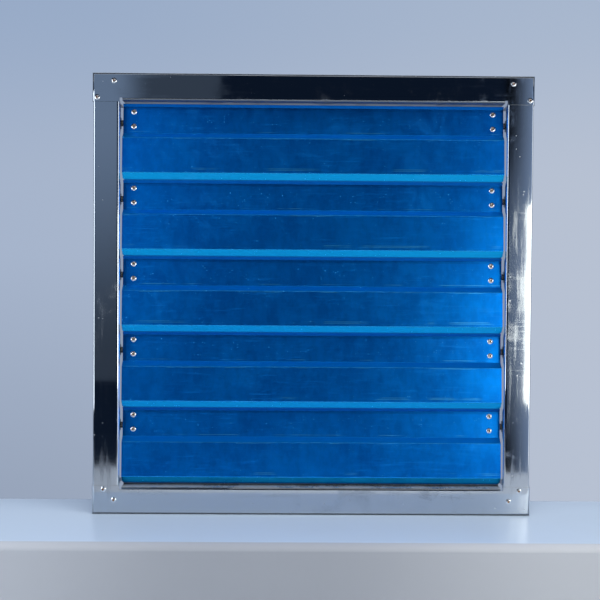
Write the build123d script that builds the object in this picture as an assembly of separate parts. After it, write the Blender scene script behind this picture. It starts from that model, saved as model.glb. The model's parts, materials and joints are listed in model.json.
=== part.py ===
from build123d import *
import os
from math import cos, hypot, radians, sin

# Gravity shutter of an exhaust fan: a frame of folded stainless rails and five coated sheet blades.
# +Z is up, the front faces -Y, and the origin is the middle of the frame's underside.

# Frame
frame_width = 500.0
frame_height = 500.0
frame_depth = 50.0
cap_face = 31.5             # visible width of the top and bottom rails
side_face = 31.0            # visible width of the side rails
rail_sheet = 0.8
outer_fold = 3.2            # outside radius from a rail's face to its outer wall
inner_fold = 3.2            # outside radius from a rail's face to its inner wall
rear_fold = 1.2             # outside radius from an outer wall to its rear lip
rear_lip = 12.0             # width of the return at the back of an outer wall
tab_overlap = 1.2           # of a top or bottom rail's face over a side rail, past the inner wall
lap_gap = 0.1               # play where one rail lies inside another
corner_gap = 3.0            # notch beside the inner wall of the top or bottom rail

# Fixing holes in the side rails' rear lips
fixing_radius = 2.75
fixing_spacing = 380.0      # between the two holes of a rail
fixing_inset = 6.5          # from the frame's side to a hole

# Blades, in the plane of a blade that hangs upright: the pivot axis is at 0, 0
blade_count = 5
blade_sheet = 0.6
blade_lean = 3.0            # degrees that the shut blade leans out at the bottom
blade_side_gap = 1.7        # from a blade's end to the inner wall
blade_bend = 1.4            # bend radius on the front of the sheet
flange_offset = 5.0         # flange's front, forward of the pivot axis
flange_above = 17.9
flange_below = 12.4
lip_reach = 2.2
lip_rise = 2.85
step_reach = 6.2
step_drop = 5.9
return_drop = 8.2
return_trim = 2.0           # cut off the return's rear corners
pivot_depth = 20.0          # pivot axis behind the frame's front
top_clearance = 0.65        # from the top blade's lip, at its highest, to the top rail
bottom_clearance = 1.8      # from the last blade's return to the bottom rail
seat_gap = 0.5              # from a return to the lip or the stop that it shuts on
seat_overlap = 0.2          # of a return over the next blade's lip

# Stop angle under the last blade
stop_height = 6.0
stop_foot = 12.0
stop_sheet = 0.8
stop_end_gap = 3.0          # from the stop's end to the inner wall

# Pivots
bracket_sheet = 1.2
bracket_width = 20.0
bracket_top = 16.2          # plate above the pivot axis
bracket_bottom = 9.5        # plate below the pivot axis
bracket_fold = 1.6
ear_reach = 5.0             # ear behind the pivot axis
ear_half_height = 6.5
pin_radius = 2.0
pin_head_radius = 2.7
pin_head = 1.6
pin_past_bush = 1.2
bush_wall = 1.0
bush_collar_radius = 3.5
bush_collar = 1.2
bush_length = 5.6           # behind the collar
running_gap = 0.05
seat_play = 0.05            # of a rivet, pin or bush in its own hole

# Blind rivets
rivet_radius = 1.6
rivet_head_radius = 3.1
rivet_head = 1.1
rivet_rim = 0.3             # straight rim under the dome
rivet_tail_radius = 2.3
rivet_tail = 3.2
mandrel_radius = 0.95
mandrel_depth = 0.7
blade_rivet_inset = 12.1    # from the blade's end
blade_rivet_upper = 12.2    # above the pivot axis
blade_rivet_lower = -4.4
top_corner_rivets = [(24.7, 9.3), (5.6, 28.0)]       # from the corner: along the rail, down
bottom_corner_rivets = [(13.2, 28.5), (25.0, 16.4)]  # from the corner: along the rail, up

# Worked out from the sizes above
front = -frame_depth / 2
rear = frame_depth / 2
half_width = frame_width / 2
lap = rail_sheet + lap_gap
opening_half = half_width - side_face
opening_bottom = cap_face
opening_top = frame_height - cap_face
blade_half = opening_half - blade_side_gap
pivot_y = front + pivot_depth
bush_radius = pin_radius + running_gap + bush_wall


def leaned(point):
    # a point of the upright blade, as it lies on the shut blade
    y, z = point
    lean = radians(blade_lean)
    return y * cos(lean) + z * sin(lean), z * cos(lean) - y * sin(lean)


def upright(point):
    y, z = point
    lean = radians(blade_lean)
    return y * cos(lean) - z * sin(lean), z * cos(lean) + y * sin(lean)


# The blades share the opening: each return ends just in front of the next blade's lip.
flange_front = -flange_offset
flange_back = flange_front + blade_sheet
panel_front = flange_front - step_reach
lip_tip = (flange_front - lip_reach, flange_above + lip_rise)
shut_lip = leaned(lip_tip)
top_pivot = opening_top - top_clearance - hypot(*lip_tip)
last_return = opening_bottom + bottom_clearance
blade_pitch = (top_pivot + shut_lip[1] - seat_overlap - last_return) / blade_count
return_end = upright((shut_lip[0] - seat_gap - blade_sheet, shut_lip[1] - blade_pitch - seat_overlap))
pivot_heights = [top_pivot - i * blade_pitch for i in range(blade_count)]


def sheet_section(points, bends, sheet, side):
    # a strip of folded sheet: its outer line, bent at each inner point, and the sheet's thickness to one side
    outer = FilletPolyline(*points, radius=bends)
    return make_face(offset(outer, amount=sheet, side=side))


def along_x(section, half_length):
    return extrude(Plane.YZ * section, amount=half_length, both=True)


def edges_at(solid, axis, **near):
    # the edges along one axis that lie at the given places on the other two
    found = solid.edges().filter_by(axis)
    for name, value in near.items():
        found = found.filter_by(lambda e: abs(getattr(e.center(), name) - value) < 1e-3)
    return found


def cap_block(inset):
    # the outside of the bottom rail, or with an inset the space inside its walls
    x = half_width - inset
    low_y, high_y = front + inset, rear - inset
    block = Pos(0, (low_y + high_y) / 2, inset) * Box(
        2 * x, high_y - low_y, cap_face + tab_overlap - inset, align=(Align.CENTER, Align.CENTER, Align.MIN)
    )
    folds = edges_at(block, Axis.X, Y=low_y, Z=inset)
    folds += edges_at(block, Axis.Z, Y=low_y, X=x) + edges_at(block, Axis.Z, Y=low_y, X=-x)
    block = fillet(folds, outer_fold - inset)
    return fillet(edges_at(block, Axis.X, Y=high_y, Z=inset), rear_fold - inset)


def cap_rail():
    # the bottom rail: a shell with end flaps, open at the back above its lip, and the inner wall folded in
    tall = 2 * cap_face
    rail = cap_block(0) - cap_block(rail_sheet)
    window = Pos(0, rear, rear_lip) * Box(
        2 * (half_width - rail_sheet), 4 * rail_sheet, tall, align=(Align.CENTER, Align.CENTER, Align.MIN)
    )
    wall_half = opening_half - corner_gap
    face_strip = Pos(0, front, cap_face - inner_fold) * Box(
        2 * opening_half, 4 * rail_sheet, tall, align=(Align.CENTER, Align.CENTER, Align.MIN)
    )
    wall_points = [(front, cap_face - inner_fold - rail_sheet), (front, cap_face), (rear, cap_face)]
    wall = along_x(sheet_section(wall_points, inner_fold, rail_sheet, Side.RIGHT), wall_half)
    return rail - window - face_strip + wall


def rivet_cut(x, z):
    depth = 2 * outer_fold
    return Pos(x, front, z) * Rot(90, 0, 0) * Cylinder(rivet_radius + seat_play, 2 * depth)


def corner_points():
    # places of the corner rivets on the face, left and right
    low = [(half_width - a, b) for a, b in bottom_corner_rivets]
    high = [(half_width - a, frame_height - b) for a, b in top_corner_rivets]
    return [(side * x, z) for x, z in low + high for side in (-1, 1)]


def bottom_rail():
    rail = cap_rail()
    for x, z in corner_points():
        rail -= rivet_cut(x, z)
    return rail


def top_rail():
    rail = mirror(cap_rail(), about=Plane.XY.offset(frame_height / 2))
    for x, z in corner_points():
        rail -= rivet_cut(x, z)
    return rail


def right_rail():
    side = half_width - lap
    face = front + lap
    points = [(opening_half, rear), (opening_half, face), (side, face), (side, rear), (half_width - rear_lip, rear)]
    bends = [inner_fold, outer_fold - lap, rear_fold]
    section = sheet_section(points, bends, rail_sheet, Side.RIGHT)
    # it ends where the folds of the top and bottom rails begin
    rail = Pos(0, 0, outer_fold) * extrude(section, amount=frame_height - 2 * outer_fold)
    # the lips of the top and bottom rails pass behind this one
    notch = Box(2 * half_width, 2 * lap, 2 * (rear_lip + lap_gap))
    rail -= Pos(0, rear, 0) * notch + Pos(0, rear, frame_height) * notch
    for x, z in corner_points():
        rail -= rivet_cut(x, z)
    for z in pivot_heights:
        rail -= Pos(opening_half, pivot_y, z) * Rot(0, 90, 0) * Cylinder(bush_radius + seat_play, 4 * rail_sheet)
    for z in (-fixing_spacing / 2, fixing_spacing / 2):
        hole = Rot(90, 0, 0) * Cylinder(fixing_radius, 4 * rail_sheet)
        rail -= Pos(half_width - fixing_inset, rear, frame_height / 2 + z) * hole
    return rail


def bottom_stop():
    # an angle on the bottom rail's inner wall, its upstand just behind the last blade's return
    face = pivot_y + shut_lip[0]
    points = [(face, opening_bottom + stop_height), (face, opening_bottom), (face + stop_foot, opening_bottom)]
    section = sheet_section(points, 2 * stop_sheet, stop_sheet, Side.LEFT)
    return along_x(section, opening_half - stop_end_gap)


def rivet(grip):
    # a set blind rivet along Y, its head's seat at 0 and its tail behind the grip
    head_top = -rivet_head
    with BuildSketch() as section:
        with BuildLine():
            Polyline(
                (0, head_top + mandrel_depth),
                (mandrel_radius, head_top + mandrel_depth),
                (mandrel_radius, head_top),
            )
            dome_mid = ((mandrel_radius + rivet_head_radius) / 2 + 0.25, head_top + 0.22)
            ThreePointArc((mandrel_radius, head_top), dome_mid, (rivet_head_radius, -rivet_rim))
            Polyline(
                (rivet_head_radius, -rivet_rim),
                (rivet_head_radius, 0),
                (rivet_radius, 0),
                (rivet_radius, grip),
                (rivet_tail_radius, grip + rivet_tail / 4),
                (rivet_tail_radius, grip + rivet_tail * 0.7),
                (mandrel_radius, grip + rivet_tail),
                (0, grip + rivet_tail),
                (0, head_top + mandrel_depth),
            )
        make_face()
    return revolve(section.sketch, Axis.Y)


def corner_rivets():
    piece = rivet(lap + rail_sheet)
    return Compound(children=[Pos(x, front, z) * piece for x, z in corner_points()])


def bush():
    # at the pivot, along X, its collar on the opening's side of the right rail's inner wall
    collar = Pos(opening_half - bush_collar / 2, 0, 0) * Rot(0, 90, 0) * Cylinder(bush_collar_radius, bush_collar)
    body = Pos(opening_half + bush_length / 2, 0, 0) * Rot(0, 90, 0) * Cylinder(bush_radius, bush_length)
    bore = Pos(opening_half, 0, 0) * Rot(0, 90, 0) * Cylinder(pin_radius + running_gap, 4 * bush_length)
    sleeve = chamfer(body.faces().sort_by(Axis.X)[-1].edges(), bush_wall / 2)
    return collar + sleeve - bore


def blade():
    # one folded sheet, upright, from its lip to its return
    points = [
        lip_tip,
        (flange_front, flange_above),
        (flange_front, -flange_below),
        (panel_front, -flange_below - step_drop),
        (panel_front, return_end[1] + return_drop),
        return_end,
    ]
    sheet = along_x(sheet_section(points, blade_bend, blade_sheet, Side.LEFT), blade_half)
    for side in (-1, 1):
        corner = Pos(side * blade_half, return_end[0], return_end[1]) * Rot(0, 0, 45)
        sheet -= corner * Box(return_trim * 2**0.5, return_trim * 2**0.5, 2 * return_drop)
        for z in (blade_rivet_upper, blade_rivet_lower):
            hole = Rot(90, 0, 0) * Cylinder(rivet_radius + seat_play, 4 * blade_sheet)
            sheet -= Pos(side * (blade_half - blade_rivet_inset), flange_front, z) * hole
    return sheet


def right_bracket():
    # an angle plate behind the flange, its ear turned back at the blade's end
    points = [(blade_half - bracket_width, flange_back), (blade_half, flange_back), (blade_half, ear_reach)]
    section = sheet_section(points, bracket_fold, bracket_sheet, Side.LEFT)
    plate = Pos(0, 0, -bracket_bottom) * extrude(section, amount=bracket_bottom + bracket_top)
    plate_back = flange_back + bracket_fold
    behind = Pos(blade_half, plate_back, 0) * Box(
        2 * bracket_width, 4 * ear_reach, 4 * bracket_top, align=(Align.CENTER, Align.MIN, Align.CENTER)
    )
    ear_room = Pos(blade_half, plate_back, 0) * Box(
        2 * bracket_width, 4 * ear_reach, 2 * ear_half_height, align=(Align.CENTER, Align.MIN, Align.CENTER)
    )
    plate -= behind - ear_room
    plate = fillet(edges_at(plate, Axis.X, Y=ear_reach), ear_half_height / 2)
    plate = fillet(edges_at(plate, Axis.Y, X=blade_half - bracket_width), bracket_fold)
    plate -= Pos(blade_half, 0, 0) * Rot(0, 90, 0) * Cylinder(pin_radius + seat_play, 4 * bracket_sheet)
    for z in (blade_rivet_upper, blade_rivet_lower):
        hole = Rot(90, 0, 0) * Cylinder(rivet_radius + seat_play, 4 * bracket_sheet)
        plate -= Pos(blade_half - blade_rivet_inset, flange_back, z) * hole
    return plate


def right_pin():
    # headed inside the ear, its shank through the ear and the bush
    head_face = blade_half - bracket_sheet
    end = opening_half + bush_length + pin_past_bush
    shank = Pos((head_face + end) / 2, 0, 0) * Rot(0, 90, 0) * Cylinder(pin_radius, end - head_face)
    shank = chamfer(shank.faces().sort_by(Axis.X)[-1].edges(), pin_radius / 4)
    head = Pos(head_face - pin_head / 2, 0, 0) * Rot(0, 90, 0) * Cylinder(pin_head_radius, pin_head)
    head = fillet(head.faces().sort_by(Axis.X)[0].edges(), pin_head / 2)
    return shank + head


def blade_rivets():
    piece = rivet(blade_sheet + bracket_sheet)
    x = blade_half - blade_rivet_inset
    places = [(side * x, z) for side in (-1, 1) for z in (blade_rivet_upper, blade_rivet_lower)]
    return [Pos(x, flange_front, z) * piece for x, z in places]


def left_of(solid):
    return mirror(solid, about=Plane.YZ)


def save(name, shape):
    export_step(shape, f"parts/{name}.step")


os.makedirs("parts", exist_ok=True)

side_rail = right_rail()
save("top_rail", top_rail())
save("bottom_rail", bottom_rail())
save("right_rail", side_rail)
save("left_rail", left_of(side_rail))
save("bottom_stop", bottom_stop())
save("corner_rivets", corner_rivets())

blade_sheet_solid = blade()
bracket = right_bracket()
pin = right_pin()
pivot_bush = bush()
rivets = blade_rivets()
for number, height in enumerate(pivot_heights, start=1):
    axis = Pos(0, pivot_y, height)
    shut = axis * Rot(-blade_lean, 0, 0)
    save(f"blade_{number}", shut * blade_sheet_solid)
    save(f"blade_rivets_{number}", Compound(children=[shut * piece for piece in rivets]))
    for side, turned in (("right", lambda solid: solid), ("left", left_of)):
        save(f"{side}_bracket_{number}", shut * turned(bracket))
        save(f"{side}_pin_{number}", shut * turned(pin))
        save(f"{side}_bush_{number}", axis * turned(pivot_bush))
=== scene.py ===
import json
import math

import bmesh
import bpy
import numpy as np
from mathutils import Matrix, Vector

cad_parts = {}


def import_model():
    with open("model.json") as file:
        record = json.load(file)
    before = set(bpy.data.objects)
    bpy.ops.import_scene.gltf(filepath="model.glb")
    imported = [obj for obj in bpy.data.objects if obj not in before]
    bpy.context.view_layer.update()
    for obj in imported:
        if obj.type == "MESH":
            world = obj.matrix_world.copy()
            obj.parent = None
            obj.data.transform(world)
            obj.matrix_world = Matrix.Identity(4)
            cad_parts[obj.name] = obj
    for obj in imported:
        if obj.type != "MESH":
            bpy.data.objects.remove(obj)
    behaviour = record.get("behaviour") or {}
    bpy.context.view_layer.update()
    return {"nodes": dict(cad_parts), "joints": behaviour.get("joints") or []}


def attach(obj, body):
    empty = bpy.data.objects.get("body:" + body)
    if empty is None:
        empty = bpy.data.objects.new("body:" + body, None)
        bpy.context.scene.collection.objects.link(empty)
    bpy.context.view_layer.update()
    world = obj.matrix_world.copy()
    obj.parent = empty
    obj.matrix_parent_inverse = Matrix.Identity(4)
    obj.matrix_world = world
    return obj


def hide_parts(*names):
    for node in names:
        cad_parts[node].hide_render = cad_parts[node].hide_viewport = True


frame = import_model()
scene = bpy.context.scene
scene.view_settings.view_transform = "Standard"
mm = 0.001
print("frame loaded,", len(frame["nodes"]), "nodes")


# shader helpers
def addNode(tree, kind, at=(0, 0), **settings):
    node = tree.nodes.new(kind)
    node.location = at
    for name, value in settings.items():
        setattr(node, name, value)
    return node


def setInputs(node, **values):
    for name, value in values.items():
        node.inputs[name.replace("_", " ")].default_value = value
    return node


def newGroup(name, inputs, outputs):
    tree = bpy.data.node_groups.new(name, "ShaderNodeTree")
    for label, kind, value in inputs:
        socket = tree.interface.new_socket(name=label, in_out="INPUT", socket_type=kind)
        socket.default_value = value
    for label, kind in outputs:
        tree.interface.new_socket(name=label, in_out="OUTPUT", socket_type=kind)
    return tree, addNode(tree, "NodeGroupInput", (-900, 0)), addNode(tree, "NodeGroupOutput", (700, 0))


def placeGroup(tree, group, at=(0, 0), **values):
    node = addNode(tree, "ShaderNodeGroup", at, node_tree=group)
    return setInputs(node, **values)


def newMaterial(name):
    material = bpy.data.materials.new(name)
    material.use_nodes = True
    tree = material.node_tree
    tree.nodes.clear()
    output = addNode(tree, "ShaderNodeOutputMaterial", (900, 0))
    shader = addNode(tree, "ShaderNodeBsdfPrincipled", (600, 0))
    tree.links.new(shader.outputs["BSDF"], output.inputs["Surface"])
    return material, tree, shader


def mixColour(tree, factor, low, high, at=(0, 0), blend="MIX"):
    node = addNode(tree, "ShaderNodeMix", at, data_type="RGBA", blend_type=blend)
    for value, socket in ((factor, node.inputs[0]), (low, node.inputs[6]), (high, node.inputs[7])):
        if isinstance(value, bpy.types.NodeSocket):
            tree.links.new(value, socket)
        else:
            socket.default_value = value if isinstance(value, (int, float)) else (*value, 1.0)
    return node.outputs[2]


def maths(tree, operation, first, second=0.0, at=(0, 0), clamp=False):
    node = addNode(tree, "ShaderNodeMath", at, operation=operation, use_clamp=clamp)
    for value, socket in ((first, node.inputs[0]), (second, node.inputs[1])):
        if isinstance(value, bpy.types.NodeSocket):
            tree.links.new(value, socket)
        else:
            socket.default_value = value
    return node.outputs[0]


def mapRange(tree, value, low, high, toLow=0.0, toHigh=1.0, at=(0, 0), smooth=True):
    node = addNode(tree, "ShaderNodeMapRange", at, interpolation_type="SMOOTHSTEP" if smooth else "LINEAR")
    tree.links.new(value, node.inputs["Value"])
    setInputs(node, From_Min=low, From_Max=high, To_Min=toLow, To_Max=toHigh)
    return node.outputs["Result"]


# 1 from low to high, with soft ends
def between(tree, value, low, high, soft, at=(0, 0)):
    enter = mapRange(tree, value, low - soft, low + soft, 0.0, 1.0, at)
    leave = mapRange(tree, value, high - soft, high + soft, 1.0, 0.0, (at[0], at[1] - 120))
    return maths(tree, "MULTIPLY", enter, leave, (at[0] + 180, at[1]))


# thin sheet never lies quite flat: slow waves in the normal
def makeSheetWaves():
    tree, entry, leave = newGroup(
        "sheetWaves",
        [
            ("Scale", "NodeSocketFloat", 7.0),
            ("Depth", "NodeSocketFloat", 0.0001),
            ("Stretch", "NodeSocketVector", (1, 1, 1)),
        ],
        [("Normal", "NodeSocketVector")],
    )
    place = addNode(tree, "ShaderNodeTexCoord", (-900, -250))
    stretch = addNode(tree, "ShaderNodeVectorMath", (-650, -150), operation="MULTIPLY")
    tree.links.new(place.outputs["Object"], stretch.inputs[0])
    tree.links.new(entry.outputs["Stretch"], stretch.inputs[1])
    waves = addNode(tree, "ShaderNodeTexNoise", (-400, 0))
    setInputs(waves, Detail=1.5, Roughness=0.4)
    tree.links.new(stretch.outputs[0], waves.inputs["Vector"])
    tree.links.new(entry.outputs["Scale"], waves.inputs["Scale"])
    # the narrow side walls are stiff, and stay straight
    split = addNode(tree, "ShaderNodeSeparateXYZ", (-650, -400))
    tree.links.new(place.outputs["Normal"], split.inputs["Vector"])
    side = maths(tree, "ABSOLUTE", split.outputs["X"], 0.0, (-450, -400))
    free = mapRange(tree, side, 0.5, 0.85, 1.0, 0.15, (-250, -400))
    bump = addNode(tree, "ShaderNodeBump", (200, 0))
    setInputs(bump, Strength=1.0)
    tree.links.new(entry.outputs["Depth"], bump.inputs["Distance"])
    tree.links.new(maths(tree, "MULTIPLY", waves.outputs["Fac"], free, (0, -100)), bump.inputs["Height"])
    tree.links.new(bump.outputs["Normal"], leave.inputs["Normal"])
    return tree


# finger marks and wiped patches
def makeSmudges():
    tree, entry, leave = newGroup(
        "handSmudges",
        [("Scale", "NodeSocketFloat", 18.0), ("Amount", "NodeSocketFloat", 0.5)],
        [("Mask", "NodeSocketFloat")],
    )
    place = addNode(tree, "ShaderNodeTexCoord", (-900, -250))
    patch = addNode(tree, "ShaderNodeTexNoise", (-400, 150))
    setInputs(patch, Detail=5.0, Roughness=0.62, Distortion=0.6)
    tree.links.new(place.outputs["Object"], patch.inputs["Vector"])
    tree.links.new(entry.outputs["Scale"], patch.inputs["Scale"])
    wide = addNode(tree, "ShaderNodeTexNoise", (-400, -200))
    setInputs(wide, Scale=5.0, Detail=2.0)
    tree.links.new(place.outputs["Object"], wide.inputs["Vector"])
    cut = mapRange(tree, patch.outputs["Fac"], 0.48, 0.72, at=(-150, 150))
    area = mapRange(tree, wide.outputs["Fac"], 0.42, 0.66, at=(-150, -200))
    both = maths(tree, "MULTIPLY", cut, area, at=(100, 0))
    tree.links.new(maths(tree, "MULTIPLY", both, entry.outputs["Amount"], at=(300, 0)), leave.inputs["Mask"])
    return tree


# scattered dust grains, some cells only
def makeSpecks():
    tree, entry, leave = newGroup(
        "dustSpecks",
        [
            ("Scale", "NodeSocketFloat", 260.0),
            ("Size", "NodeSocketFloat", 0.16),
            ("Share", "NodeSocketFloat", 0.2),
        ],
        [("Mask", "NodeSocketFloat")],
    )
    place = addNode(tree, "ShaderNodeTexCoord", (-900, -250))
    cells = addNode(tree, "ShaderNodeTexVoronoi", (-500, 0), feature="F1")
    tree.links.new(place.outputs["Object"], cells.inputs["Vector"])
    tree.links.new(entry.outputs["Scale"], cells.inputs["Scale"])
    grey = addNode(tree, "ShaderNodeSeparateColor", (-300, 150))
    tree.links.new(cells.outputs["Color"], grey.inputs["Color"])
    chosen = maths(tree, "LESS_THAN", grey.outputs[0], entry.outputs["Share"], at=(-100, 150))
    size = maths(tree, "MULTIPLY", grey.outputs[1], entry.outputs["Size"], at=(-100, -50))
    near = maths(tree, "LESS_THAN", cells.outputs["Distance"], size, at=(100, -50))
    fade = maths(tree, "MULTIPLY", near, grey.outputs[2], at=(300, -50))
    tree.links.new(maths(tree, "MULTIPLY", chosen, fade, at=(480, 0)), leave.inputs["Mask"])
    return tree


# hair-fine marks along one direction
def makeScratches():
    tree, entry, leave = newGroup(
        "fineScratches",
        [
            ("Stretch", "NodeSocketVector", (30, 900, 900)),
            ("Low", "NodeSocketFloat", 0.6),
            ("High", "NodeSocketFloat", 0.75),
        ],
        [("Mask", "NodeSocketFloat")],
    )
    place = addNode(tree, "ShaderNodeTexCoord", (-900, -250))
    stretch = addNode(tree, "ShaderNodeVectorMath", (-650, -150), operation="MULTIPLY")
    tree.links.new(place.outputs["Object"], stretch.inputs[0])
    tree.links.new(entry.outputs["Stretch"], stretch.inputs[1])
    grain = addNode(tree, "ShaderNodeTexNoise", (-400, 0))
    setInputs(grain, Scale=1.0, Detail=3.0, Roughness=0.6)
    tree.links.new(stretch.outputs[0], grain.inputs["Vector"])
    cut = addNode(tree, "ShaderNodeMapRange", (0, 0), interpolation_type="SMOOTHSTEP")
    tree.links.new(grain.outputs["Fac"], cut.inputs["Value"])
    tree.links.new(entry.outputs["Low"], cut.inputs["From Min"])
    tree.links.new(entry.outputs["High"], cut.inputs["From Max"])
    tree.links.new(cut.outputs["Result"], leave.inputs["Mask"])
    return tree


sheetWaves = makeSheetWaves()
handSmudges = makeSmudges()
dustSpecks = makeSpecks()
fineScratches = makeScratches()
print("shader groups made")


polishedSteel = {
    "colour": (0.60, 0.63, 0.67),
    "smudgeColour": (0.50, 0.53, 0.58),
    "dustColour": (0.24, 0.25, 0.27),
    # painted shade for the faces turned down
    "undersideShadeColour": (0.15, 0.16, 0.175),
    "speckColour": (0.72, 0.74, 0.77),
    "roughness": 0.05,
    "smudgeRoughness": 0.36,
    "waveScale": 9.0,
    "waveDepth": 0.00016,
}


def makePolishedSteel(spec):
    material, tree, shader = newMaterial("polishedSteel")
    place = addNode(tree, "ShaderNodeTexCoord", (-1300, 0))
    split = addNode(tree, "ShaderNodeSeparateXYZ", (-1100, -300))
    tree.links.new(place.outputs["Normal"], split.inputs["Vector"])
    smudge = placeGroup(tree, handSmudges, (-600, 250), Scale=26.0, Amount=0.95).outputs["Mask"]
    alongX = placeGroup(tree, fineScratches, (-600, 50), Stretch=(40, 700, 700), Low=0.56, High=0.80)
    alongZ = placeGroup(tree, fineScratches, (-600, -50), Stretch=(700, 700, 40), Low=0.56, High=0.80)
    scratch = maths(tree, "MAXIMUM", alongX.outputs["Mask"], alongZ.outputs["Mask"], (-400, 0))
    dust = placeGroup(tree, dustSpecks, (-600, -150), Scale=210.0, Size=0.17, Share=0.16).outputs["Mask"]
    # wiping streaks run along each rail
    wipeX = placeGroup(tree, fineScratches, (-900, 500), Stretch=(14, 170, 170), Low=0.50, High=0.74)
    wipeZ = placeGroup(tree, fineScratches, (-900, 350), Stretch=(170, 170, 14), Low=0.50, High=0.74)
    across = addNode(tree, "ShaderNodeSeparateXYZ", (-1100, 600))
    tree.links.new(place.outputs["Object"], across.inputs["Vector"])
    sideRail = maths(tree, "ABSOLUTE", across.outputs["X"], 0.0, (-950, 650))
    sideRail = mapRange(tree, sideRail, 0.217, 0.221, 0.0, 1.0, (-800, 650))
    levelRail = maths(tree, "SUBTRACT", 1.0, sideRail, (-650, 650))
    fromX = maths(tree, "MULTIPLY", wipeX.outputs["Mask"], levelRail, (-500, 600))
    fromZ = maths(tree, "MULTIPLY", wipeZ.outputs["Mask"], sideRail, (-500, 450))
    wipe = maths(tree, "ADD", fromX, fromZ, (-350, 500))
    # dust settles on what faces up; the faces turned down inside get painted shade, a dark colour, and stay
    # dull
    patch = addNode(tree, "ShaderNodeTexNoise", (-1100, -600))
    setInputs(patch, Scale=38.0, Detail=4.0, Roughness=0.6)
    tree.links.new(place.outputs["Object"], patch.inputs["Vector"])
    patchy = mapRange(tree, patch.outputs["Fac"], 0.34, 0.64, 0.30, 0.80, (-900, -600))
    up = mapRange(tree, split.outputs["Z"], 0.55, 0.95, 0.0, 1.0, (-900, -300))
    settled = maths(tree, "MULTIPLY", up, patchy, (-700, -400))
    facing = maths(tree, "MULTIPLY", split.outputs["Z"], -1.0, (-900, -450))
    under = mapRange(tree, facing, 0.05, 0.5, 0.0, 0.92, (-700, -500))
    tone = mixColour(tree, smudge, spec["colour"], spec["smudgeColour"], (-200, 300))
    tone = mixColour(tree, dust, tone, spec["speckColour"], (0, 300))
    tone = mixColour(tree, under, tone, spec["undersideShadeColour"], (150, 300))
    tone = mixColour(tree, settled, tone, spec["dustColour"], (300, 300))
    tree.links.new(tone, shader.inputs["Base Color"])
    tree.links.new(mapRange(tree, settled, 0.0, 1.0, 1.0, 0.15, (300, 150), False), shader.inputs["Metallic"])
    dull = mapRange(tree, smudge, 0.0, 1.0, spec["roughness"], spec["smudgeRoughness"], (-200, 50), False)
    # what each mark adds to the roughness
    layers = (
        (wipe, 0.085, 0),
        (scratch, 0.06, -100),
        (dust, 0.3, -200),
        (settled, 0.5, -300),
        (under, 0.3, -400),
    )
    for mask, amount, at in layers:
        dull = maths(tree, "ADD", dull, maths(tree, "MULTIPLY", mask, amount, (-200, at)), (0, at), True)
    tree.links.new(dull, shader.inputs["Roughness"])
    waves = placeGroup(tree, sheetWaves, (200, -250), Scale=spec["waveScale"], Depth=spec["waveDepth"])
    tree.links.new(waves.outputs["Normal"], shader.inputs["Normal"])
    return material


blueCoat = {
    "colour": (0.0, 0.285, 1.0),
    "deepColour": (0.0, 0.18, 0.73),
    # painted reflection on the return and on the step
    "returnSheenColour": (0.0, 0.355, 0.745),
    "stepSheenColour": (0.0, 0.30, 0.90),
    "dustColour": (0.04, 0.42, 0.95),
    # painted shade for the lips, the return's feet and the left corners
    "paintedShadeColour": (0.0, 0.085, 0.34),
    "wearColour": (0.08, 0.56, 1.0),
    "metallic": 0.88,
    "roughness": 0.29,
    "wearWidth": 0.0008,
    "dragWidth": 0.0006,
    # each mark's bend, and how far along the sheet it lies from it
    "dragMarks": ((2, 0.0010), (3, -0.0034), (3, -0.0050), (1, -0.0022)),
}


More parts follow.
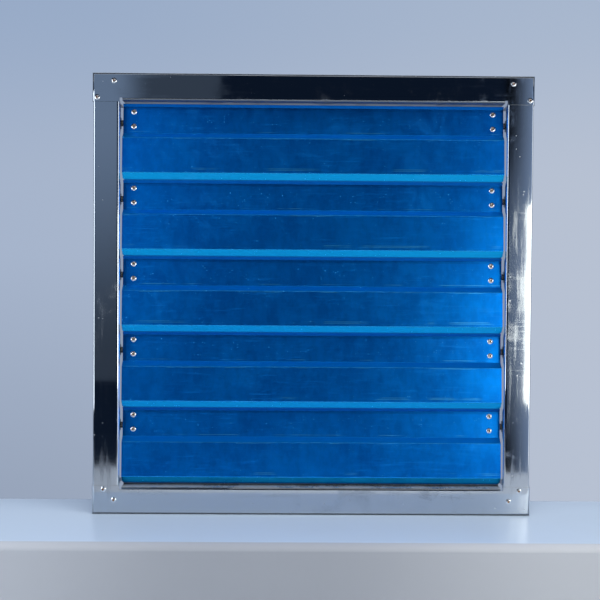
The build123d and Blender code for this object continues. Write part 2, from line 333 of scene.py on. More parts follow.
def makeBlueCoat(spec, bendsAt, sheetEnd, halfLength):
    material, tree, shader = newMaterial("blueCoat")
    setInputs(shader, Specular_IOR_Level=0.2)
    cloud = addNode(tree, "ShaderNodeTexNoise", (-900, 500))
    setInputs(cloud, Scale=14.0, Detail=4.0, Roughness=0.6)
    place = addNode(tree, "ShaderNodeTexCoord", (-1100, 300))
    tree.links.new(place.outputs["Object"], cloud.inputs["Vector"])
    tall = addNode(tree, "ShaderNodeVectorMath", (-1100, 650), operation="MULTIPLY")
    tree.links.new(place.outputs["Object"], tall.inputs[0])
    tall.inputs[1].default_value = (1.0, 1.0, 0.6)
    mottle = addNode(tree, "ShaderNodeTexNoise", (-900, 700))
    setInputs(mottle, Scale=85.0, Detail=3.0, Roughness=0.65)
    tree.links.new(tall.outputs[0], mottle.inputs["Vector"])
    broad = mapRange(tree, cloud.outputs["Fac"], 0.35, 0.68, at=(-700, 500))
    local = mapRange(tree, mottle.outputs["Fac"], 0.32, 0.68, at=(-700, 700))
    shade = maths(tree, "MULTIPLY", maths(tree, "ADD", broad, local, (-600, 600)), 0.5, (-550, 600))
    tone = mixColour(tree, shade, spec["colour"], spec["deepColour"], (-500, 500))
    specks = placeGroup(tree, dustSpecks, (-900, 200), Scale=420.0, Size=0.26, Share=0.22).outputs["Mask"]
    grains = placeGroup(tree, dustSpecks, (-900, 50), Scale=150.0, Size=0.13, Share=0.22).outputs["Mask"]
    smudge = placeGroup(tree, handSmudges, (-900, -100), Scale=42.0, Amount=0.5).outputs["Mask"]
    hairs = placeGroup(tree, fineScratches, (-900, -250), Stretch=(26, 900, 900), Low=0.55, High=0.74)
    hairs = hairs.outputs["Mask"]
    dust = maths(tree, "ADD", maths(tree, "MULTIPLY", specks, 0.8, (-650, 200)), grains, (-450, 150), True)
    dust = maths(tree, "ADD", dust, maths(tree, "MULTIPLY", smudge, 0.22, (-650, -50)), (-250, 100), True)
    dust = maths(tree, "ADD", dust, maths(tree, "MULTIPLY", hairs, 0.13, (-650, -200)), (-100, 50), True)
    sheetMap = addNode(tree, "ShaderNodeUVMap", (-1100, -500), uv_map="sheet")
    split = addNode(tree, "ShaderNodeSeparateXYZ", (-900, -500))
    tree.links.new(sheetMap.outputs["UV"], split.inputs["Vector"])
    # painted reflection: the return gets a lighter, greener coat for the bright table it mirrors, and the
    # step a lighter coat for the bright return mirrored above it
    under = between(tree, split.outputs["Y"], bendsAt[3][0], 1.0, 0.0006, (-500, 750))
    step = between(tree, split.outputs["Y"], bendsAt[1][0], bendsAt[2][0], 0.0006, (-500, 1000))
    tone = mixColour(tree, under, tone, spec["returnSheenColour"], (-250, 500))
    onStep = maths(tree, "MULTIPLY", step, 0.85, (-150, 1000))
    tone = mixColour(tree, onStep, tone, spec["stepSheenColour"], (-100, 500))
    tone = mixColour(tree, dust, tone, spec["dustColour"], (50, 450))
    # the coat is rubbed thin along each bend
    rub = None
    for i, (at, weight) in enumerate(bendsAt):
        row = -450 - 90 * i
        off = maths(tree, "SUBTRACT", split.outputs["Y"], at, (-700, row))
        off = maths(tree, "ABSOLUTE", off, 0.0, (-550, row))
        line = mapRange(tree, off, 0.0, spec["wearWidth"], weight, 0.0, (-400, row))
        rub = line if rub is None else maths(tree, "MAXIMUM", rub, line, (-200, row))
    broken = addNode(tree, "ShaderNodeTexNoise", (-400, -350))
    setInputs(broken, Scale=60.0, Detail=5.0, Roughness=0.7)
    tree.links.new(place.outputs["Object"], broken.inputs["Vector"])
    patchy = mapRange(tree, broken.outputs["Fac"], 0.36, 0.62, 0.25, 1.0, (-200, -350))
    rub = maths(tree, "MULTIPLY", rub, patchy, (0, -400), True)
    # thin drag marks beside the bends, broken along their length
    drag = addNode(tree, "ShaderNodeVectorMath", (-700, -900), operation="MULTIPLY")
    tree.links.new(place.outputs["Object"], drag.inputs[0])
    drag.inputs[1].default_value = (14.0, 0.0, 40.0)
    runs = addNode(tree, "ShaderNodeTexNoise", (-500, -900))
    setInputs(runs, Scale=1.0, Detail=3.0, Roughness=0.6)
    tree.links.new(drag.outputs[0], runs.inputs["Vector"])
    shown = mapRange(tree, runs.outputs["Fac"], 0.50, 0.60, 0.0, 0.8, (-300, -900))
    for i, (bend, away) in enumerate(spec["dragMarks"]):
        row = -1050 - 90 * i
        off = maths(tree, "SUBTRACT", split.outputs["Y"], bendsAt[bend][0] + away, (-500, row))
        off = maths(tree, "ABSOLUTE", off, 0.0, (-350, row))
        line = mapRange(tree, off, 0.0, spec["dragWidth"], 1.0, 0.0, (-200, row))
        mark = maths(tree, "MULTIPLY", line, shown, (-50, row))
        rub = maths(tree, "MAXIMUM", rub, mark, (100, row))
    tone = mixColour(tree, rub, tone, spec["wearColour"], (250, 450))
    # painted shade where one blade shuts on the next: the lip under the return above, the return's foot and a
    # band below the lip's bend are darkened
    lip = mapRange(tree, split.outputs["Y"], 0.0034, 0.0060, 0.82, 0.0, (-200, 750))
    foot = mapRange(tree, split.outputs["Y"], sheetEnd - 0.0026, sheetEnd - 0.0010, 0.0, 0.88, (-200, 900))
    lipBend = bendsAt[0][0]
    crease = between(tree, split.outputs["Y"], lipBend + 0.0006, lipBend + 0.0030, 0.0010, (-500, 1500))
    paintedShade = maths(tree, "MAXIMUM", lip, foot, (0, 800))
    paintedShade = maths(tree, "MAXIMUM", paintedShade, maths(tree, "MULTIPLY", crease, 0.30, (-200, 1500)), (80, 850))
    # and painted shade in the corner between a flange and the left rail, where the rail keeps the left light
    # off
    flange = between(tree, split.outputs["Y"], 0.0015, bendsAt[1][0], 0.0006, (-500, 1250))
    leftEnd = -halfLength
    corner = mapRange(tree, split.outputs["X"], leftEnd + 0.0026, leftEnd + 0.0046, 0.55, 0.0, (-300, 1400))
    paintedShade = maths(tree, "MAXIMUM", paintedShade, maths(tree, "MULTIPLY", flange, corner, (-100, 1300)), (150, 900))
    tone = mixColour(tree, paintedShade, tone, spec["paintedShadeColour"], (420, 450))
    tree.links.new(tone, shader.inputs["Base Color"])
    metal = mapRange(tree, dust, 0.0, 1.0, spec["metallic"], 0.3, (200, 250), False)
    # the zones of painted reflection are also a little less metallic
    sheenZones = maths(tree, "ADD", under, maths(tree, "MULTIPLY", step, 0.3, (50, 450)), (50, 350))
    metal = maths(tree, "SUBTRACT", metal, maths(tree, "MULTIPLY", sheenZones, 0.2, (200, 350)), (400, 250), True)
    tree.links.new(metal, shader.inputs["Metallic"])
    dull = mapRange(tree, dust, 0.0, 1.0, spec["roughness"], 0.62, (200, 100), False)
    dull = maths(tree, "SUBTRACT", dull, maths(tree, "MULTIPLY", under, 0.12, (200, 0)), (400, 100))
    tree.links.new(dull, shader.inputs["Roughness"])
    waves = placeGroup(tree, sheetWaves, (200, -250), Scale=6.5, Depth=0.00022, Stretch=(1.0, 1.0, 1.0))
    peel = addNode(tree, "ShaderNodeBump", (400, -250))
    setInputs(peel, Strength=0.12, Distance=0.0002)
    tree.links.new(waves.outputs["Normal"], peel.inputs["Normal"])
    tree.links.new(maths(tree, "ADD", hairs, dust, (250, -450)), peel.inputs["Height"])
    tree.links.new(peel.outputs["Normal"], shader.inputs["Normal"])
    return material


rivetMetal = {
    "colour": (0.78, 0.79, 0.81),
    "smudgeColour": (0.55, 0.55, 0.56),
    "coreColour": (0.27, 0.13, 0.06),
    "roughness": 0.16,
    "coreRadius": 0.00095,
    "coreDepth": 0.0022,
}


def makeRivetMetal(spec):
    material, tree, shader = newMaterial("rivetMetal")
    core = addNode(tree, "ShaderNodeAttribute", (-700, 200), attribute_name="mandrel")
    smudge = placeGroup(tree, handSmudges, (-700, 0), Scale=300.0, Amount=0.8).outputs["Mask"]
    tone = mixColour(tree, smudge, spec["colour"], spec["smudgeColour"], (-300, 200))
    tone = mixColour(tree, core.outputs["Fac"], tone, spec["coreColour"], (-100, 200))
    tree.links.new(tone, shader.inputs["Base Color"])
    metal = mapRange(tree, core.outputs["Fac"], 0.0, 1.0, 1.0, 0.35, (-100, 0), False)
    tree.links.new(metal, shader.inputs["Metallic"])
    dull = mapRange(tree, core.outputs["Fac"], 0.0, 1.0, spec["roughness"], 0.6, (-100, -200), False)
    dull = maths(tree, "ADD", dull, maths(tree, "MULTIPLY", smudge, 0.2, (-100, -350)), (150, -200))
    tree.links.new(dull, shader.inputs["Roughness"])
    return material


bracketZinc = {
    "name": "bracketZinc",
    "colour": (0.56, 0.57, 0.58),
    "spotColour": (0.40, 0.40, 0.40),
    "roughness": 0.34,
    "grain": (500, 500, 90),
}
wornPin = {
    "name": "pinSteel",
    "colour": (0.50, 0.48, 0.45),
    "spotColour": (0.30, 0.25, 0.21),
    "roughness": 0.38,
    "grain": (300, 900, 900),
}


def makePlainMetal(spec):
    material, tree, shader = newMaterial(spec["name"])
    setInputs(shader, Metallic=1.0)
    smudge = placeGroup(tree, handSmudges, (-700, 200), Scale=120.0, Amount=0.8).outputs["Mask"]
    grain = placeGroup(tree, fineScratches, (-700, 0), Stretch=spec["grain"], Low=0.4, High=0.75)
    grain = grain.outputs["Mask"]
    tone = mixColour(tree, smudge, spec["colour"], spec["spotColour"], (-300, 200))
    tree.links.new(tone, shader.inputs["Base Color"])
    dull = mapRange(tree, grain, 0.0, 1.0, spec["roughness"], spec["roughness"] + 0.18, (-300, 0), False)
    dull = maths(tree, "ADD", dull, maths(tree, "MULTIPLY", smudge, 0.15, (-300, -150)), (0, 0))
    tree.links.new(dull, shader.inputs["Roughness"])
    bump = addNode(tree, "ShaderNodeBump", (200, -250))
    setInputs(bump, Strength=0.15, Distance=0.0001)
    tree.links.new(grain, bump.inputs["Height"])
    tree.links.new(bump.outputs["Normal"], shader.inputs["Normal"])
    return material


greyBush = {
    "colour": (0.12, 0.112, 0.105),
    "smudgeColour": (0.19, 0.175, 0.16),
    "speckColour": (0.24, 0.23, 0.22),
    "roughness": 0.48,
    "smudgeRoughness": 0.68,
}


def makeBushPlastic(spec):
    material, tree, shader = newMaterial("bushPlastic")
    smudge = placeGroup(tree, handSmudges, (-700, 200), Scale=240.0, Amount=1.0).outputs["Mask"]
    specks = placeGroup(tree, dustSpecks, (-700, 0), Scale=900.0, Size=0.3, Share=0.2).outputs["Mask"]
    tone = mixColour(tree, smudge, spec["colour"], spec["smudgeColour"], (-300, 200))
    tone = mixColour(tree, specks, tone, spec["speckColour"], (-100, 200))
    tree.links.new(tone, shader.inputs["Base Color"])
    dull = mapRange(tree, smudge, 0.0, 1.0, spec["roughness"], spec["smudgeRoughness"], (-300, 0), False)
    tree.links.new(dull, shader.inputs["Roughness"])
    return material


# the blades' sizes, as on the drawing
blade = {
    "halfLength": 217.3,
    "sheet": 0.6,
    "lean": 3.0,
    "bend": 1.4,
    "flangeFront": -5.0,
    "flangeTop": 17.9,
    "flangeBottom": -12.4,
    "lipReach": 2.2,
    "lipRise": 2.85,
    "stepReach": 6.2,
    "stepDrop": 5.9,
    "returnDrop": 8.2,
    "returnTrim": 2.0,
    "returnCrown": 6.0,
    "seatGap": 0.5,
    "seatOverlap": 0.2,
    "bendSteps": 9,
    "stations": 60,
}
joints = [j for j in frame["joints"] if j["type"] == "hinge"]
pivots = [Vector(j["pos_m"]) / mm for j in joints]
pitch = pivots[0].z - pivots[1].z
lean = math.radians(blade["lean"])


def leaned(y, z):
    return y * math.cos(lean) + z * math.sin(lean), z * math.cos(lean) - y * math.sin(lean)


def upright(y, z):
    return y * math.cos(lean) - z * math.sin(lean), z * math.cos(lean) + y * math.sin(lean)


def bladeProfile():
    lip = (blade["flangeFront"] - blade["lipReach"], blade["flangeTop"] + blade["lipRise"])
    shut = leaned(*lip)
    end = upright(shut[0] - blade["seatGap"] - blade["sheet"], shut[1] - pitch - blade["seatOverlap"])
    panel = blade["flangeFront"] - blade["stepReach"]
    return [
        Vector(lip),
        Vector((blade["flangeFront"], blade["flangeTop"])),
        Vector((blade["flangeFront"], blade["flangeBottom"])),
        Vector((panel, blade["flangeBottom"] - blade["stepDrop"])),
        Vector((panel, end[1] + blade["returnDrop"])),
        Vector(end),
    ]


def leftOf(run):
    return Vector((-run.y, run.x)).normalized()


# the front line of a folded sheet as points with the normal to its back
def foldedLine(corners, radius, steps):
    line = []
    last = len(corners) - 1
    for i, corner in enumerate(corners):
        if i == 0:
            line.append((corner, leftOf(corners[1] - corner)))
            continue
        if i == last:
            line.append((corner, leftOf(corner - corners[i - 1])))
            continue
        back = (corners[i - 1] - corner).normalized()
        ahead = (corners[i + 1] - corner).normalized()
        half = back.angle(ahead) / 2
        reach = radius / math.tan(half)
        centre = corner + (back + ahead).normalized() * (radius / math.sin(half))
        start = corner + back * reach - centre
        stop = corner + ahead * reach - centre
        turn = start.angle_signed(stop)
        side = leftOf(-back)
        for k in range(steps + 1):
            arm = Matrix.Rotation(-turn * k / steps, 2) @ start
            radial = arm.normalized()
            keeps = radial.dot(side) > 0 or k and radial.dot(line[-1][1]) > 0
            line.append((centre + arm, radial if keeps else -radial))
    return line


def bladeMesh(name, pivot):
    corners = bladeProfile()
    line = foldedLine(corners, blade["bend"], blade["bendSteps"])
    # one more row on the return, where its end corners are cut off
    end, before = corners[-1], line[-2][0]
    run = end - before
    cutAt = end - run * (blade["returnTrim"] / run.x)
    line.insert(-1, (cutAt, line[-1][1]))
    halves = [blade["halfLength"]] * len(line)
    halves[-1] -= blade["returnTrim"]
    along = [0.0]
    for (a, _), (b, _) in zip(line, line[1:]):
        along.append(along[-1] + (b - a).length)
    stations = np.linspace(-1, 1, blade["stations"] + 1)
    mesh = bpy.data.meshes.new(name)
    verts, normals, maps = [], [], []

    def world(x, p):
        y, z = leaned(p.x, p.y)
        return (x * mm, (pivot.y + y) * mm, (pivot.z + z) * mm)

    def worldNormal(n):
        y, z = leaned(n.x, n.y)
        return (0.0, y, z)

    rows, count = len(line), len(stations)
    # the folded return is slightly crowned, in its shading only
    lastBend = 1 + 3 * (blade["bendSteps"] + 1)
    for skin in (0, 1):
        for i, (point, normal) in enumerate(line):
            spot = point + normal * blade["sheet"] * skin
            share = min(max((i - lastBend) / blade["bendSteps"], 0.0), 1.0)
            shown = Matrix.Rotation(math.radians(-blade["returnCrown"] * share), 2) @ normal
            for t in stations:
                verts.append(world(t * halves[i], spot))
                normals.append(worldNormal(shown if skin else -shown))
                maps.append((t * halves[i] * mm, along[i] * mm))

    def at(skin, i, j):
        return skin * rows * count + i * count + j

    faces = []
    for i in range(rows - 1):
        for j in range(count - 1):
            faces.append((at(0, i, j), at(0, i + 1, j), at(0, i + 1, j + 1), at(0, i, j + 1)))
            faces.append((at(1, i, j), at(1, i, j + 1), at(1, i + 1, j + 1), at(1, i + 1, j)))
    skinFaces = len(faces)
    for i in range(rows - 1):
        faces.append((at(0, i, 0), at(1, i, 0), at(1, i + 1, 0), at(0, i + 1, 0)))
        j = count - 1
        faces.append((at(0, i, j), at(0, i + 1, j), at(1, i + 1, j), at(1, i, j)))
    for j in range(count - 1):
        faces.append((at(0, 0, j), at(0, 0, j + 1), at(1, 0, j + 1), at(1, 0, j)))
        i = rows - 1
        faces.append((at(0, i, j), at(1, i, j), at(1, i, j + 1), at(0, i, j + 1)))
    mesh.from_pydata(verts, [], faces)
    mesh.update()
    sheetMap = mesh.uv_layers.new(name="sheet")
    custom = []
    for polygon in mesh.polygons:
        polygon.use_smooth = True
        for loop in polygon.loop_indices:
            v = mesh.loops[loop].vertex_index
            sheetMap.data[loop].uv = maps[v]
            custom.append(normals[v] if polygon.index < skinFaces else tuple(polygon.normal))
    mesh.normals_split_custom_set(custom)
    return mesh, along


def bendPlaces(along):
    steps = blade["bendSteps"] + 1
    weights = [0.08, 0.1, 0.5, 0.35]
    return [((along[1 + k * steps] + along[k * steps + steps]) / 2 * mm, weights[k]) for k in range(4)]


def addPiece(name, mesh, material, body, slotName, *nodes):
    piece = bpy.data.objects.new(name, mesh)
    scene.collection.objects.link(piece)
    piece.data.materials.clear()
    piece.data.materials.append(material)
    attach(piece, body)
    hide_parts(*nodes)
    return piece


steel = makePolishedSteel(polishedSteel)
coat = None
for number, pivot in enumerate(pivots, start=1):
    mesh, along = bladeMesh(f"bladeSheet{number}", pivot)
    if coat is None:
        coat = makeBlueCoat(blueCoat, bendPlaces(along), along[-1] * mm, blade["halfLength"] * mm)
    addPiece(f"bladeSheet{number}", mesh, coat, f"blade_{number}", "blue_coat", f"blade_{number}")
print("blades folded,", len(pivots))


# frame and fittings keep the solids' own form, with smooth folds
def smoothMesh(node, name, angle):
    mesh = frame["nodes"][node].data.copy()
    mesh.name = name
    work = bmesh.new()
    work.from_mesh(mesh)
    bmesh.ops.remove_doubles(work, verts=work.verts, dist=2e-6)
    bmesh.ops.dissolve_limit(work, angle_limit=math.radians(0.4), verts=work.verts, edges=work.edges)
    bmesh.ops.recalc_face_normals(work, faces=work.faces)
    work.to_mesh(mesh)
    work.free()
    for polygon in mesh.polygons:
        polygon.use_smooth = True
    mesh.set_sharp_from_angle(angle=math.radians(angle))
    return mesh


def addSmooth(node, name, material, body, slotName, angle=28.0):
    piece = addPiece(name, smoothMesh(node, name, angle), material, body, slotName, node)
    even = piece.modifiers.new("evenNormals", "WEIGHTED_NORMAL")
    even.keep_sharp = True
    even.weight = 80
    return piece


def camelName(node):
    first, *rest = node.split("_")
    return first + "".join(word.capitalize() for word in rest)


# a rivet's mandrel hole, marked for its dark core
def markMandrels(piece, axis, spec):
    mesh = piece.data
    work = bmesh.new()
    work.from_mesh(mesh)
    work.verts.ensure_lookup_table()
    mark = np.zeros(len(work.verts), np.float32)
    seen = set()
    for start in work.verts:
        if start.index in seen:
            continue
        stack, island = [start], []
        seen.add(start.index)
        while stack:
            vert = stack.pop()
            island.append(vert)
            for edge in vert.link_edges:
                other = edge.other_vert(vert)
                if other.index not in seen:
                    seen.add(other.index)
                    stack.append(other)
        middle = sum((v.co for v in island), Vector()) / len(island)
        low = min((v.co - middle).dot(axis) for v in island)
        for vert in island:
            arm = vert.co - middle
            out = (arm - axis * arm.dot(axis)).length
            if out < spec["coreRadius"] * 1.05 and arm.dot(axis) - low < spec["coreDepth"]:
                mark[vert.index] = 1.0
    work.free()
    attribute = mesh.attributes.new("mandrel", "FLOAT", "POINT")
    attribute.data.foreach_set("value", mark)


rivetPaint = makeRivetMetal(rivetMetal)
bracketSteel = makePlainMetal(bracketZinc)
pinSteel = makePlainMetal(wornPin)
bushPlastic = makeBushPlastic(greyBush)
straightIn = Vector((0, 1, 0))
leanedIn = Vector((0, math.cos(lean), -math.sin(lean)))
for node in ("top_rail", "bottom_rail", "left_rail", "right_rail", "bottom_stop"):
    addSmooth(node, camelName(node), steel, "frame", "stainless")
cornerRivets = addSmooth("corner_rivets", "cornerRivets", rivetPaint, "frame", "rivet")
markMandrels(cornerRivets, straightIn, rivetMetal)
for number in range(1, len(pivots) + 1):
    body = f"blade_{number}"
    rivets = addSmooth(f"blade_rivets_{number}", f"bladeRivets{number}", rivetPaint, body, "rivet")
    markMandrels(rivets, leanedIn, rivetMetal)
    for side in ("left", "right"):
        addSmooth(f"{side}_bracket_{number}", f"{side}Bracket{number}", bracketSteel, body, "bracket_steel")
        addSmooth(f"{side}_pin_{number}", f"{side}Pin{number}", pinSteel, body, "pin_steel")
        addSmooth(f"{side}_bush_{number}", f"{side}Bush{number}", bushPlastic, "frame", "bush")
print("rails, rivets and pivots dressed")


table = {
    "front": -0.145,
    "back": 0.056,
    "half": 1.9,
    "thick": 0.30,
    "edge": 0.008,
    "colour": (0.57, 0.665, 0.795),
    "frontColour": (0.397, 0.405, 0.443),
    # the front's paler ends, painted light
    "litEndColour": (0.545, 0.549, 0.583),
    "middle": -0.05,
    "roughness": 0.28,
    "edgeRoughness": 0.8,
    "flatNormal": (0.985, 0.9995),
}


def makeTable(spec):
    work = bmesh.new()
    bmesh.ops.create_cube(work, size=1.0)
    size = Vector((2 * spec["half"], spec["back"] - spec["front"], spec["thick"]))
    for vert in work.verts:
        vert.co = Vector((vert.co.x * size.x, vert.co.y * size.y, vert.co.z * size.z))
        vert.co += Vector((0, (spec["back"] + spec["front"]) / 2, -spec["thick"] / 2))
    topEdges = [e for e in work.edges if all(v.co.z > -1e-6 for v in e.verts)]
    bmesh.ops.bevel(work, geom=topEdges, offset=spec["edge"], segments=6, profile=0.5, affect="EDGES")
    mesh = bpy.data.meshes.new("tableTop")
    work.to_mesh(mesh)
    work.free()
    # only the rounded edge is smooth, so the flat top mirrors straight
    for polygon in mesh.polygons:
        polygon.use_smooth = 0.01 < abs(polygon.normal.z) < 0.999
    slab = bpy.data.objects.new("tableTop", mesh)
    scene.collection.objects.link(slab)
    material, tree, shader = newMaterial("tableLaminate")
    haze = placeGroup(tree, handSmudges, (-600, 100), Scale=9.0, Amount=0.5).outputs["Mask"]
    pale = spec["colour"]
    place = addNode(tree, "ShaderNodeTexCoord", (-800, -200))
    split = addNode(tree, "ShaderNodeSeparateXYZ", (-600, -200))
    tree.links.new(place.outputs["Normal"], split.inputs["Vector"])
    tilted, flat = spec["flatNormal"]
    front = mapRange(tree, split.outputs["Z"], tilted, flat, 1.0, 0.0, (-400, -200))
    # the top is glossy, its rounded edge and front are dull
    dull, glossy = spec["edgeRoughness"], spec["roughness"]
    gloss = mapRange(tree, split.outputs["Z"], tilted, flat, dull, glossy, (-200, -200))
    tree.links.new(gloss, shader.inputs["Roughness"])
    # painted shade: the front is darker in its middle, near the shutter, and paler towards its ends
    spot = addNode(tree, "ShaderNodeSeparateXYZ", (-600, -400))
    tree.links.new(place.outputs["Object"], spot.inputs["Vector"])
    away = maths(tree, "SUBTRACT", spot.outputs["X"], spec["middle"], (-450, -400))
    away = maths(tree, "ABSOLUTE", away, 0.0, (-300, -400))
    paintedLightToEnds = mapRange(tree, away, 0.05, 0.32, 0.0, 1.0, (-150, -400))
    side = mixColour(tree, paintedLightToEnds, spec["frontColour"], spec["litEndColour"], (0, -100))
    tone = mixColour(tree, haze, pale, tuple(c * 0.97 for c in pale), (-200, 100))
    tree.links.new(mixColour(tree, front, tone, side, (200, 100)), shader.inputs["Base Color"])
    mesh.materials.append(material)


makeTable(table)

# the studio floor in front of the table, lower down
floor = {"far": -1.8, "near": 1.2, "half": 1.9, "z": -0.30, "colour": (0.70, 0.735, 0.785)}


def makeFloor(spec):
    mesh = bpy.data.meshes.new("studioFloor")
    x, z = spec["half"], spec["z"]
    y0, y1 = spec["far"], spec["near"]
    mesh.from_pydata([(-x, y0, z), (x, y0, z), (x, y1, z), (-x, y1, z)], [], [(0, 1, 2, 3)])
    ground = bpy.data.objects.new("studioFloor", mesh)
    scene.collection.objects.link(ground)
    material, tree, shader = newMaterial("floorPaint")
    setInputs(shader, Roughness=0.6)
    haze = placeGroup(tree, handSmudges, (-600, 100), Scale=4.0, Amount=0.5).outputs["Mask"]
    pale = spec["colour"]
    tone = mixColour(tree, haze, pale, tuple(c * 0.96 for c in pale), (-200, 100))
    tree.links.new(tone, shader.inputs["Base Color"])
    mesh.materials.append(material)


makeFloor(floor)

# dim wall panels out of view, beside the camera: the polished rails show them
leftPanel = {
    "name": "leftPanel",
    "x": (-0.62, -0.15),
    "z": (0.085, 1.0),
    "y": -0.64,
    "colour": (0.49, 0.68, 1.0),
}
rightPanel = {
    "name": "rightPanel",
    "x": (0.43, 1.3),
    "z": (-0.150, 0.9),
    "y": -1.0,
    "colour": (0.48, 0.66, 1.0),
}


def makeDimPanel(spec, level):
    mesh = bpy.data.meshes.new(spec["name"])
    (x0, x1), (z0, z1), y = spec["x"], spec["z"], spec["y"]
    mesh.from_pydata([(x0, y, z0), (x1, y, z0), (x1, y, z1), (x0, y, z1)], [], [(0, 3, 2, 1)])
    panel = bpy.data.objects.new(spec["name"], mesh)
    scene.collection.objects.link(panel)
    material = bpy.data.materials.new(spec["name"] + "Glow")
    material.use_nodes = True
    tree = material.node_tree
    tree.nodes.clear()
    place = addNode(tree, "ShaderNodeTexCoord", (-900, 0))
    split = addNode(tree, "ShaderNodeSeparateXYZ", (-700, 0))
    tree.links.new(place.outputs["Object"], split.inputs["Vector"])
    glow = addNode(tree, "ShaderNodeEmission", (400, 0))
    amount = level(tree, split.outputs["X"], split.outputs["Z"])
    shown = mixColour(tree, amount, (0, 0, 0), spec["colour"], (200, 0))
    tree.links.new(shown, glow.inputs["Color"])
    output = addNode(tree, "ShaderNodeOutputMaterial", (600, 0))
    tree.links.new(glow.outputs["Emission"], output.inputs["Surface"])
    mesh.materials.append(material)
    panel.visible_camera = False
    panel.visible_shadow = False


def leftLevel(tree, x, z):
    rise = mapRange(tree, z, 0.12, 0.56, 0.082, 0.36, (-450, 100))
    fade = mapRange(tree, x, -0.34, -0.27, 1.0, 0.27, (-450, -150))
    return maths(tree, "MULTIPLY", rise, fade, (-200, 0))


def rightLevel(tree, x, z):
    off = maths(tree, "ABSOLUTE", maths(tree, "SUBTRACT", z, 0.24, (-650, 100)), 0.0, (-550, 100))
    inner = mapRange(tree, off, 0.05, 0.40, 0.27, 0.0, (-450, 100))
    outward = mapRange(tree, x, 0.44, 0.52, 0.0, 1.0, (-450, -150))
    rest = maths(tree, "MULTIPLY", outward, maths(tree, "SUBTRACT", 0.62, inner, (-300, 0)), (-150, -100))
    return maths(tree, "ADD", inner, rest, (0, 100))


makeDimPanel(leftPanel, leftLevel)
makeDimPanel(rightPanel, rightLevel)


def addSoftbox(name, place, aim, width, height, power, colour=(1, 1, 1), spread=180.0):
    light = bpy.data.lights.new(name, "AREA")
    light.shape = "RECTANGLE"
    light.size = width
    light.size_y = height
    light.energy = power
    light.color = colour
    light.spread = math.radians(spread)
    lamp = bpy.data.objects.new(name, light)
    lamp.location = place
    lamp.rotation_euler = (Vector(aim) - Vector(place)).to_track_quat("-Z", "Y").to_euler()
    lamp.visible_camera = False
    scene.collection.objects.link(lamp)
    return lamp


coolWhite = (0.95, 0.98, 1.0)
addSoftbox("rightSoftbox", (0.622, -0.66, 0.220), (0.0, 0.0, 0.220), 0.50, 0.39, 2.15, (1.0, 1.0, 0.88))
addSoftbox("leftSoftbox", (-0.76, -0.60, 0.40), (0.0, 0.0, 0.25), 0.50, 0.8, 4.3, (0.82, 0.91, 1.0))
overhead = addSoftbox("tableLight", (0.2, -0.62, 1.45), (0.05, -0.45, 0.0), 1.2, 0.6, 18.0, coolWhite)
overhead.visible_glossy = False
floorWash = addSoftbox("floorWash", (0.45, -1.65, 0.95), (0.45, -1.65, -0.3), 2.2, 0.5, 5.0, coolWhite, 100.0)
floorWash.visible_glossy = False
highBox = addSoftbox("highBox", (0.0, -1.6, 1.85), (0.0, 0.0, 0.5), 2.4, 0.5, 3.0, (0.92, 0.96, 1.0))
highBox.visible_diffuse = False
sideBox = addSoftbox("sideBox", (2.2, -0.9, 0.30), (0.25, 0.0, 0.25), 0.70, 1.6, 9.0, coolWhite)
sideBox.visible_diffuse = False


# pale studio wall behind, dark room in front; the camera sees the pale wall from every side
studio = {
    "darkRoom": (0.005, 0.0105, 0.024),
    "paleRoom": (0.36, 0.43, 0.56),
    "wallLeft": (0.381, 0.4575, 0.601),
    "wallRight": (0.475, 0.534, 0.648),
    "wallHigh": (0.82, 0.885, 0.95),
    "wallLow": (0.81, 0.81, 0.815),
}


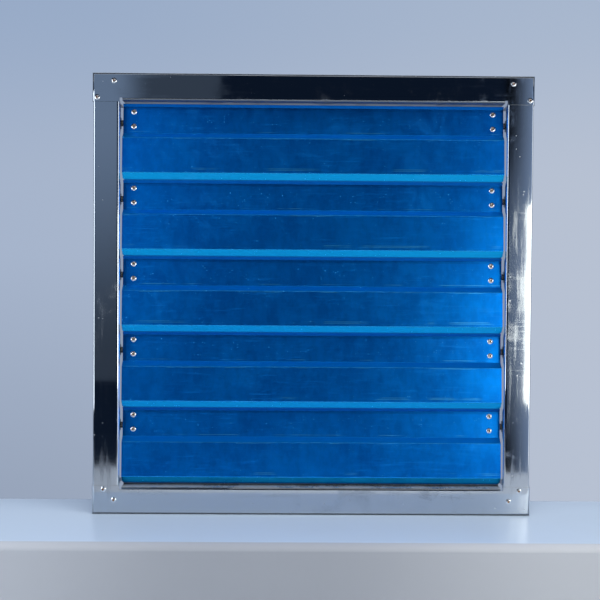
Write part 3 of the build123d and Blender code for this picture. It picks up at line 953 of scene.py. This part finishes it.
def makeWorld(spec):
    world = bpy.data.worlds.new("studio")
    scene.world = world
    world.use_nodes = True
    tree = world.node_tree
    tree.nodes.clear()
    place = addNode(tree, "ShaderNodeTexCoord", (-1100, 0))
    split = addNode(tree, "ShaderNodeSeparateXYZ", (-900, 0))
    tree.links.new(place.outputs["Generated"], split.inputs["Vector"])
    behind = mapRange(tree, split.outputs["Y"], -0.05, 0.35, at=(-650, 200))
    room = mixColour(tree, behind, spec["darkRoom"], spec["paleRoom"], (-400, 200))
    # painted light on the wall: darker at the left, brighter at the right
    across = mapRange(tree, split.outputs["X"], -0.32, 0.34, at=(-650, -100))
    wall = mixColour(tree, across, spec["wallLeft"], spec["wallRight"], (-400, -100))
    # the wall's light falls off upwards, and downwards at the left
    high = mapRange(tree, split.outputs["Z"], 0.08, 0.28, at=(-650, -550))
    wall = mixColour(tree, high, wall, spec["wallHigh"], (-300, -100), "MULTIPLY")
    low = mapRange(tree, split.outputs["Z"], -0.22, 0.02, 1.0, 0.0, (-650, -700), False)
    low = maths(tree, "MULTIPLY", low, maths(tree, "SUBTRACT", 1.0, across, (-500, -600)), (-400, -700))
    wall = mixColour(tree, low, wall, spec["wallLow"], (-200, -100), "MULTIPLY")
    path = addNode(tree, "ShaderNodeLightPath", (-650, -350))
    shown = mixColour(tree, path.outputs["Is Camera Ray"], room, wall, (-100, 0))
    back = addNode(tree, "ShaderNodeBackground", (150, 0))
    setInputs(back, Strength=1.0)
    tree.links.new(shown, back.inputs["Color"])
    output = addNode(tree, "ShaderNodeOutputWorld", (400, 0))
    tree.links.new(back.outputs["Background"], output.inputs["Surface"])


makeWorld(studio)

# the photograph's angle
view = {
    "place": (-25.354, -1121.47, 272.48),
    "pitch": 0.0250,
    "yaw": 0.0100,
    "roll": 0.0070,
    "focalPixels": 968.0,
    "framePixels": 600.0,
    "sensor": 36.0,
}


def makeCamera(spec):
    data = bpy.data.cameras.new("camera")
    data.sensor_fit = "HORIZONTAL"
    data.sensor_width = spec["sensor"]
    data.lens = spec["focalPixels"] * spec["sensor"] / spec["framePixels"]
    data.clip_start = 0.01
    camera = bpy.data.objects.new("camera", data)
    scene.collection.objects.link(camera)
    right = Vector((math.cos(spec["yaw"]), -math.sin(spec["yaw"]), 0))
    ahead = Vector((math.sin(spec["yaw"]), math.cos(spec["yaw"]), 0))
    up = Vector((0, 0, 1))
    look = ahead * math.cos(spec["pitch"]) - up * math.sin(spec["pitch"])
    rise = ahead * math.sin(spec["pitch"]) + up * math.cos(spec["pitch"])
    side = right * math.cos(spec["roll"]) + rise * math.sin(spec["roll"])
    top = rise * math.cos(spec["roll"]) - right * math.sin(spec["roll"])
    turn = Matrix((side, top, -look)).transposed().to_4x4()
    camera.matrix_world = Matrix.Translation(Vector(spec["place"]) * mm) @ turn
    scene.camera = camera


makeCamera(view)
print("stage, lights and camera set")
